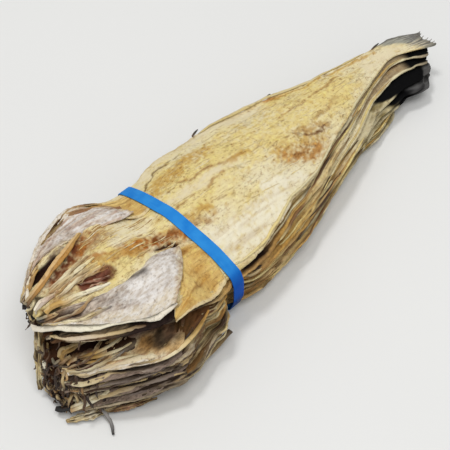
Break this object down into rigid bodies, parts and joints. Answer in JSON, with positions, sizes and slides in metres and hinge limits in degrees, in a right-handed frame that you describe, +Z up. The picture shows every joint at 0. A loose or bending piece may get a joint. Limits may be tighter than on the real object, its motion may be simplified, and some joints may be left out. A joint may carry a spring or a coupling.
{
  "type": "dried pollock bundle",
  "caption": "Bundle of whole dried pollock, split open and stacked flesh side up with the heads together, bound behind the heads by a flat plastic strap.",
  "frame": {"origin": "on the surface the bundle lies on, under the middle of its bounding box", "axes": "+X from the heads to the tails, +Y across the fish, +Z up"},
  "size_m": [0.4738, 0.1568, 0.0879],
  "materials": {
    "dried_fish": "dry, fibrous and matte, cream to ochre with brown stains",
    "strap": "smooth blue plastic band with a soft sheen"
  },
  "bodies": {
    "root": {"pollock_1": "dried_fish", "pollock_2": "dried_fish", "pollock_3": "dried_fish", "pollock_4": "dried_fish", "pollock_5": "dried_fish", "pollock_6": "dried_fish", "pollock_7": "dried_fish", "pollock_8": "dried_fish", "strap": "strap"}
  },
  "joints": []
}
